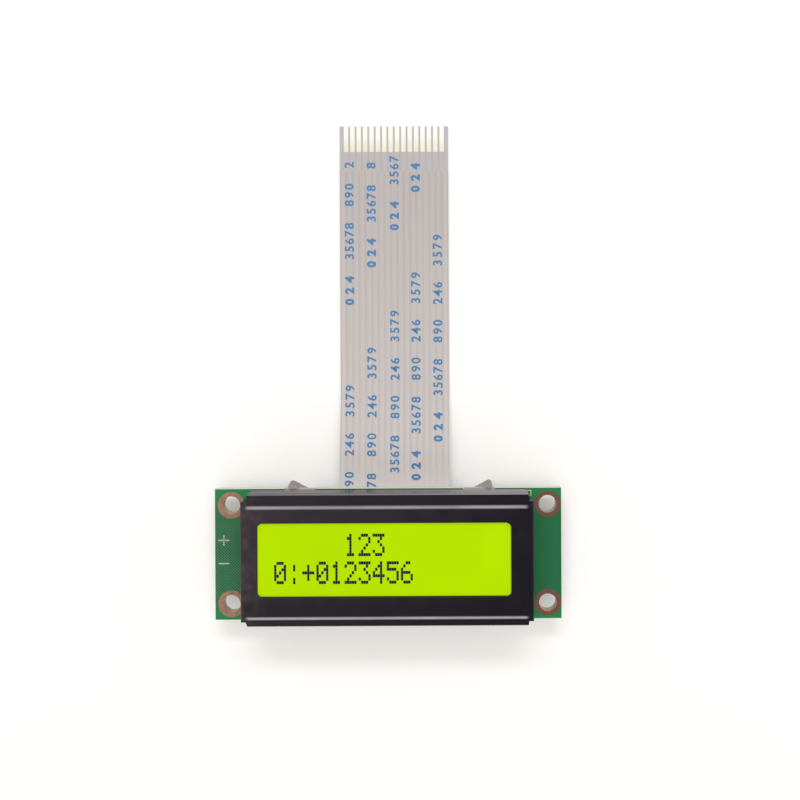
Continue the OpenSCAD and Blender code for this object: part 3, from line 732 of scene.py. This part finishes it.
# ---- Backlight ----
# An edge-lit panel: a white moulded frame holds a clear acrylic guide on a reflector, under a
# diffuser. Three light sources shine into its end from a small board, fed by two soldered pins.


def clear_plastic(name, first, second, roughness, ior):
    """Clear sheet or glass: nearly colourless, with faint streaks in its tint."""
    clear = Finish(name, roughness=roughness, IOR=ior, Transmission_Weight=0.9)
    streaks = clear.clouds(3 * MM, stretch=(4, 1, 1))
    clear.put(Base_Color=clear.blend(streaks, first, second))
    clear.relief(clear.clouds(1 * MM), 0.001 * MM)
    return clear.material


white_moulding = mottled(
    "white_moulding", tone(238, 236, 230), tone(226, 223, 214), 2 * MM, 0.006 * MM, roughness=0.5
)
diffuser = mottled(
    "diffuser_film", tone(240, 242, 236), tone(230, 233, 226), 4 * MM, 0.002 * MM, roughness=0.7
)
reflector = mottled(
    "reflector_film", tone(246, 246, 244), tone(232, 232, 230), 3 * MM, 0.002 * MM, roughness=0.3
)
led_resin = mottled(
    "led_resin", tone(214, 226, 120), tone(196, 210, 96), 0.4 * MM, 0.004 * MM, roughness=0.35
)
inner_board = mottled(
    "inner_board", tone(34, 102, 62), tone(26, 88, 52), 0.8 * MM, 0.003 * MM, roughness=0.4
)
acrylic = clear_plastic("clear_acrylic", tone(250, 252, 250), tone(242, 247, 244), 0.05, 1.49)
soften("backlight_frame", white_moulding, chamfer=0.06)
dress(diffuser, "diffuser_sheet")
dress(reflector, "reflector_sheet")
dress(acrylic, "light_guide")
dress(inner_board, "led_board")
dress(led_resin, "led_chips")
soften("backlight_pins", tinned_ends)
soften("pin_solder", solder, chamfer=0)

# ---- Display cell ----
# Two panes of glass with liquid crystal between them, sealed round the edge and closed by a drop
# of glue at the filling port. Two elastomer strips carry the signals down to the board.

RUBBER_PITCH = 0.18


def strip_rubber():
    """Thin layers of pale rubber and black conducting rubber in turn, along the strip."""
    rubber = Finish("strip_rubber", roughness=0.7, specular=0.3)
    layers = rubber.ramp(rubber.stripes(rubber.x, RUBBER_PITCH * MM), 0.35, 0.65, smooth=True)
    rubber.put(Base_Color=rubber.blend(layers, tone(196, 190, 182), tone(40, 40, 42)))
    rubber.relief(rubber.clouds(0.2 * MM), 0.004 * MM)
    return rubber.material


glass = clear_plastic("cell_glass", tone(240, 247, 243), tone(232, 242, 237), 0.02, 1.52)
seal = mottled("seal_epoxy", tone(192, 186, 168), tone(172, 165, 146), 1 * MM, 0.002 * MM)
port_glue = mottled(
    "clear_glue", tone(224, 226, 214), tone(208, 210, 196), 0.5 * MM, 0.006 * MM, roughness=0.25
)
rear_film = mottled(
    "rear_film", tone(150, 170, 70), tone(138, 158, 60), 6 * MM, 0.001 * MM, roughness=0.5
)
dress(glass, "front_glass", "rear_glass")
dress(seal, "cell_seal")
dress(port_glue, "fill_port_plug")
dress(rear_film, "rear_polarizer")
dress(strip_rubber(), "upper_contact_strip", "lower_contact_strip")

# ---- Window and lit dots ----
# The front polarizer is lit from behind in yellow green. Each lit dot of the liquid crystal shows
# dark through it, in two lines of sixteen 5 by 8 cells that show plain digits here.

DIGITS = {
    "0": "01110 10001 10011 10101 11001 10001 01110",
    "1": "00100 01100 00100 00100 00100 00100 01110",
    "2": "01110 10001 00001 00010 00100 01000 11111",
    "3": "11111 00010 00100 00010 00001 10001 01110",
    "4": "00010 00110 01010 10010 11111 00010 00010",
    "5": "11111 10000 11110 00001 00001 10001 01110",
    "6": "00110 01000 10000 11110 10001 10001 01110",
    "7": "11111 00001 00010 00100 01000 01000 01000",
    "8": "01110 10001 10001 01110 10001 10001 01110",
    "9": "01110 10001 10001 01111 00001 00010 01100",
    ":": "00000 00100 00100 00000 00000 00100 00100",
    "+": "00000 00100 00100 11111 00100 00100 00000",
    " ": "00000 00000 00000 00000 00000 00000 00000",
}
LINES = ("     123", "0:+0123456")
DOT_PITCH = (0.355, 0.475)
DOT_SIZE = (0.335, 0.455)
CELL_PITCH = 2.067
LINE_PITCH = 4.07
FIRST_DOT = (-16.02, 3.6)  # from the window's middle to the first dot of the first line
DOT_T = 0.02
WINDOW_X, WINDOW_Y = -0.4, 0.4  # the window's middle
WINDOW_HALF_W, WINDOW_HALF_H = 18.7, 5.45
RIM = 0.2  # width of the painted shade along the window's edge, where the backlight ends


def window_film():
    """The film glows yellow green, slightly unevenly, with painted shade along the window's edge."""
    film = Finish("front_film", roughness=0.35, specular=0.02, Emission_Strength=1.0)
    cloudy = film.clouds(9 * MM, detail=1)
    out_x = film.math("SUBTRACT", film.distance(film.x, WINDOW_X * MM), WINDOW_HALF_W * MM)
    out_y = film.math("SUBTRACT", film.distance(film.y, WINDOW_Y * MM), WINDOW_HALF_H * MM)
    rim = film.ramp(film.math("MAXIMUM", out_x, out_y), -RIM * MM, 0, smooth=True)
    green = film.blend(cloudy, tone(110, 137, 0), tone(114, 141, 0))
    film.put(Base_Color=film.blend(rim, green, tone(22, 14, 40)))
    lit = film.blend(cloudy, tone(150, 187, 0), tone(154, 191, 0))
    film.put(Emission_Color=film.blend(rim, lit, tone(20, 10, 40)))
    film.relief(film.clouds(0.1 * MM), 0.0015 * MM)
    return film.material


def dark_crystal():
    """Near black with a hint of violet, as a lit dot looks against the glow."""
    dot = Finish("dark_crystal", roughness=0.4, specular=0.15)
    dot.put(Base_Color=dot.blend(dot.clouds(0.3 * MM), tone(10, 0, 36), tone(18, 4, 46)))
    return dot.material


def lit_dots():
    """The middles of all dots that show, in metres."""
    film_low, film_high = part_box("front_polarizer")
    middle = (film_low + film_high) / 2
    places = []
    for row, text in enumerate(LINES):
        for cell, letter in enumerate(text):
            for j, bits in enumerate(DIGITS[letter].split()):
                for i, bit in enumerate(bits):
                    if bit == "1":
                        x = FIRST_DOT[0] + cell * CELL_PITCH + i * DOT_PITCH[0]
                        y = FIRST_DOT[1] - row * LINE_PITCH - j * DOT_PITCH[1]
                        places.append((middle.x + x * MM, middle.y + y * MM, film_high.z))
    return places


def dots_recipe():
    """One flat block at each point."""
    recipe = Recipe("dots", "Width", "Height", "Thickness")
    width, height, thickness = [recipe.given[name] for name in ("Width", "Height", "Thickness")]
    size = recipe.add("CombineXYZ", X=width, Y=height, Z=thickness).outputs[0]
    recipe.give_at_points(recipe.step("MeshCube", Size=size))
    return recipe


dress(window_film(), "front_polarizer")
keep(dots_recipe().make(
    "lit_dots", lit_dots(), [], dark_crystal(),
    Width=DOT_SIZE[0] * MM, Height=DOT_SIZE[1] * MM, Thickness=DOT_T * MM,
))

# ---- Bezel ----
# Steel sheet, blanked, folded and painted semi-gloss black, and scuffed on the left. Painted
# highlights lie along the bends, a painted sheen lightens the left end, painted shade darkens the
# shoulders, and the paint is darker towards the lower edge. The twisted tabs behind the board are
# bare bright steel.

FACE_HALF_W = 21
CREASE_Y = 8.12  # middle of the bend between the front face and a shoulder
CREASE_HALF_W = 0.36  # half the width of the painted highlight along it
SHOULDER_FOOT_Y = 9.78  # the bend between a shoulder and a long wall
TAB_TOP_Z = -0.3  # below this the sheet is bare
SHEARED_EDGE = 0.05


def black_paint():
    """Black paint with scuffs, painted highlights, a painted sheen and painted shade, down to the
    bare tabs.
    """
    paint = Finish("black_steel", roughness=0.2)
    across = paint.math("ABSOLUTE", paint.y)
    out = paint.math("ABSOLUTE", paint.x)
    to_left = paint.ramp(paint.x, FACE_HALF_W * MM, -FACE_HALF_W * MM)
    to_right = paint.ramp(paint.x, -FACE_HALF_W * MM, 15 * MM)

    # Painted sheen makes the paint lighter towards the left end, painted shade darkens the
    # shoulders, and the paint is darker towards the lower edge.
    spots = paint.ramp(paint.clouds(3 * MM, detail=4), 0, 1, -0.12, 0.12)
    black = paint.blend(paint.math("ADD", to_left, spots), tone(26, 23, 33), tone(55, 49, 54))
    low_edge = paint.ramp(paint.y, -3 * MM, -7 * MM, 0, 0.55, smooth=True)
    shoulder = paint.ramp(across, 8.2 * MM, 8.6 * MM, 0, 0.5)
    black = paint.blend(paint.math("MAXIMUM", low_edge, shoulder), black, tone(24, 22, 28))

    # Scuffs near the left end, mostly on the front face, which also add to the painted sheen there.
    smears = paint.math("POWER", paint.clouds(1.9 * MM, detail=4), 2)
    near_left = paint.ramp(paint.x, -17.5 * MM, -20.5 * MM, 0, 0.75)
    on_front = paint.ramp(paint.facing_up(), 0.5, 0.9, 0.25, 1)
    worn = paint.blend(paint.all_of(smears, near_left, on_front), black, tone(84, 72, 72))

    # Painted highlights along the bends. The near one is painted brighter than the one at the cable's
    # side.
    crease = paint.distance(across, CREASE_Y * MM)
    crease = paint.ramp(crease, 0, CREASE_HALF_W * MM, 1, 0, smooth=True)
    between_ends = paint.ramp(out, (FACE_HALF_W - 0.1) * MM, (FACE_HALF_W - 0.8) * MM, smooth=True)
    uneven = paint.ramp(paint.clouds(7 * MM, stretch=(1, 4, 1)), 0, 1, 0.7, 0.95)
    near_side = paint.ramp(paint.y, -1 * MM, 1 * MM, 1.15, 0.85)
    painted_crease_highlight = paint.all_of(crease, between_ends, uneven, near_side)
    worn = paint.blend(painted_crease_highlight, worn, tone(176, 173, 178))
    # A painted highlight along the bend at the foot of each shoulder, brighter to the right.
    foot = paint.distance(across, SHOULDER_FOOT_Y * MM)
    foot = paint.ramp(foot, 0.02 * MM, 0.16 * MM, 1, 0, smooth=True)
    bright = paint.ramp(to_right, 0, 1, 0.45, 0.8)
    worn = paint.blend(paint.all_of(foot, bright), worn, tone(158, 154, 158))

    # The tabs.
    bare = paint.ramp(paint.z, TAB_TOP_Z * MM, (TAB_TOP_Z - 0.2) * MM)
    streaks = paint.clouds(0.3 * MM, stretch=(1, 1, 4))
    brushed = paint.blend(streaks, tone(160, 152, 152), tone(146, 139, 139))
    paint.put(Base_Color=paint.blend(bare, worn, brushed))
    paint.put(Metallic=paint.all_of(bare, 0.7))

    # The front is dull and the walls shine a little, more so to the right.
    dull = paint.ramp(paint.y, -8.3 * MM, -8.6 * MM, 0.05, 0.0025)
    shine = paint.ramp(to_right, 0, 1, 0.04, 0.26)
    upright = paint.ramp(paint.facing_up(), 0.3, 0.1)
    paint.put(Specular_IOR_Level=paint.ramp(upright, 0, 1, dull, shine))
    grain = paint.clouds(0.18 * MM, detail=3)
    paint.relief(paint.all_of(grain, paint.ramp(bare, 0, 1, 1, 0.2)), 0.002 * MM)
    return paint.material


soften("bezel", black_paint(), chamfer=SHEARED_EDGE)

# ---- Flat cable ----
# Sixteen flat tinned conductors between two pale films, raised over each conductor. A stiffer film
# backs the bare contacts at the free end, and the other end is soldered to the board's pads.

BOARD_EDGE_Y = 10
STIFFENER_Y = 59.29  # where the stiffener begins
BARE_Y = 62.5  # where the upper film ends
FAR_Y, NEAR_Y = 55, 17  # the film grows lighter from the first to the second


def cable_film():
    """Pale film, darker over each conductor, lit by painted light near the board, greyer over the
    stiffener.
    """
    film = Finish("cable_film", roughness=0.4, specular=0.3)
    ways = film.stripes(film.math("ADD", film.x, 0.05 * MM), WAY_PITCH * MM)
    over = film.ramp(ways, 0.3, 0.7, smooth=True)
    to_board = film.ramp(film.y, FAR_Y * MM, NEAR_Y * MM)
    pale = film.blend(to_board, tone(190, 182, 180), tone(206, 199, 197))
    dark = film.blend(to_board, tone(176, 168, 166), tone(192, 185, 183))
    stripes = film.blend(over, pale, dark)
    milky = film.clouds(4 * MM, stretch=(1, 4, 1))
    hazed = film.blend(film.all_of(milky, 0.25), stripes, tone(194, 189, 188))
    # Painted light near the board's edge, where the board shades the film.
    painted_light_by_board = film.ramp(film.y, (BOARD_EDGE_Y + 5) * MM, BOARD_EDGE_Y * MM, 0, 0.6, smooth=True)
    hazed = film.blend(painted_light_by_board, hazed, tone(222, 216, 214))
    stiffened = film.ramp(film.y, (STIFFENER_Y - 0.15) * MM, (STIFFENER_Y + 0.15) * MM)
    between_contacts = film.ramp(film.y, BARE_Y * MM, (BARE_Y + 0.3) * MM)
    stiff = film.blend(between_contacts, tone(183, 179, 178), tone(184, 182, 188))
    film.put(Base_Color=film.blend(stiffened, hazed, stiff))
    film.relief(film.clouds(0.4 * MM, detail=3, stretch=(1, 5, 1)), 0.003 * MM)
    return film.material


def tinned_copper():
    """Bright tin, duller in patches and a little yellow where the bare length begins."""
    tin = Finish("tinned_copper", metallic=0.9)
    dull = tin.clouds(0.8 * MM, detail=3, stretch=(0.5, 3, 1))
    by_film = tin.ramp(tin.y, (BARE_Y + 2.7) * MM, (BARE_Y + 0.1) * MM, smooth=True)
    bright = tin.blend(dull, tone(242, 242, 238), tone(232, 228, 216))
    tin.put(Base_Color=tin.blend(by_film, bright, tone(228, 221, 198)))
    tin.put(Roughness=tin.ramp(dull, 0, 1, 0.28, 0.42))
    tin.relief(tin.clouds(0.15 * MM, stretch=(1, 6, 1)), 0.002 * MM)
    return tin.material


stiffener = mottled(
    "stiffener_film", tone(186, 186, 194), tone(174, 174, 184), 1.5 * MM, 0.002 * MM, roughness=0.4
)
film_finish = cable_film()
soften("cable_upper_film", film_finish, chamfer=0)
soften("cable_lower_film", film_finish, chamfer=0)
soften("cable_conductors", tinned_copper(), chamfer=0)
soften("cable_stiffener", stiffener, chamfer=0)
soften("cable_solder", solder)

# ---- Print on the cable ----
# Plain figures in blue ink on the upper film. They run along the cable in five rows, each row a
# little further on than the one beside it, and the whole print repeats down the cable.

PRINT_T = 0.02
PRINT_H = 1.45
PRINT_PERIOD = 45
PRINT_REPEATS = 2
PRINT_ROWS = (  # place of the row along X, and where its first figure starts along Y
    (-6.34, 37.9), (-2.89, 43.8), (0.72, 49.6), (4.02, 55.6), (7.47, 61.5),
)
PRINT_GROUPS = (  # figures, distance from the row's start, length, boldness
    ("024", 0, 5.27, 0.045), ("35678", 7.4, 6.0, 0.018), ("890", 15.7, 3.9, 0.018),
    ("246", 21.7, 3.85, 0.018), ("3579", 27.7, 5.3, 0.018),
)
PRINT_FROM, PRINT_TO = 9.6, 62.1  # the part of the film that the print shows on
UPPER_Z = -1.63  # top of the film over a conductor where the cable leaves the board
BEND_START = 10.8
BEND_R = 36
BEND_DROP = 1.62
BEND_STEPS = 3
FILM_HALF_T = 0.1
INK_SINK = 0.01  # how far the ink reaches into the film


def film_line():
    """Points along the top of the film, which runs level, down through two arcs and level again."""
    turn = math.acos(1 - BEND_DROP / (2 * BEND_R))
    bend_end = BEND_START + 2 * BEND_R * math.sin(turn)
    angles = [turn * i / BEND_STEPS for i in range(BEND_STEPS + 1)]
    outer, inner = BEND_R + FILM_HALF_T, BEND_R - FILM_HALF_T
    down = [(BEND_START + outer * math.sin(a), UPPER_Z - outer * (1 - math.cos(a))) for a in angles]
    level = UPPER_Z - BEND_DROP
    out = [(bend_end - inner * math.sin(a), level + inner * (1 - math.cos(a))) for a in angles]
    return [(0, UPPER_Z), *down, *reversed(out[:-1]), (PRINT_TO + 5, level)]


def film_top(y):
    """Height of the film over a conductor at this place along the cable."""
    for (y0, z0), (y1, z1) in zip(FILM_LINE, FILM_LINE[1:]):
        if y <= y1:
            break
    return z0 + (z1 - z0) * (y - y0) / (y1 - y0)


def printed_figure(figure, x, middle, bold):
    """A figure that reads towards +Y with its foot towards +X, lying on the film."""
    def place(along, up, on_top):
        y = middle + along
        return (x + PRINT_H / 2 - up, y, film_top(y) + (PRINT_T if on_top else -INK_SINK))
    return flat_numbers(figure, place, PRINT_H, bold)


def blue_print():
    """Every figure of the print that lies wholly on the visible part of the film."""
    figures = []
    for x, first in PRINT_ROWS:
        for repeat in range(PRINT_REPEATS):
            for text, offset, length, bold in PRINT_GROUPS:
                step = length / len(text)
                for i, figure in enumerate(text):
                    middle = first - repeat * PRINT_PERIOD + offset + step * (i + 0.5)
                    if PRINT_FROM < middle - step / 2 and middle + step / 2 < PRINT_TO:
                        figures.append(printed_figure(figure, x, middle, bold))
    return figures


FILM_LINE = film_line()
blue_ink = ink("blue_ink", tone(46, 110, 168), tone(92, 140, 180))
keep(solid_of("cable_print", blue_print(), blue_ink))
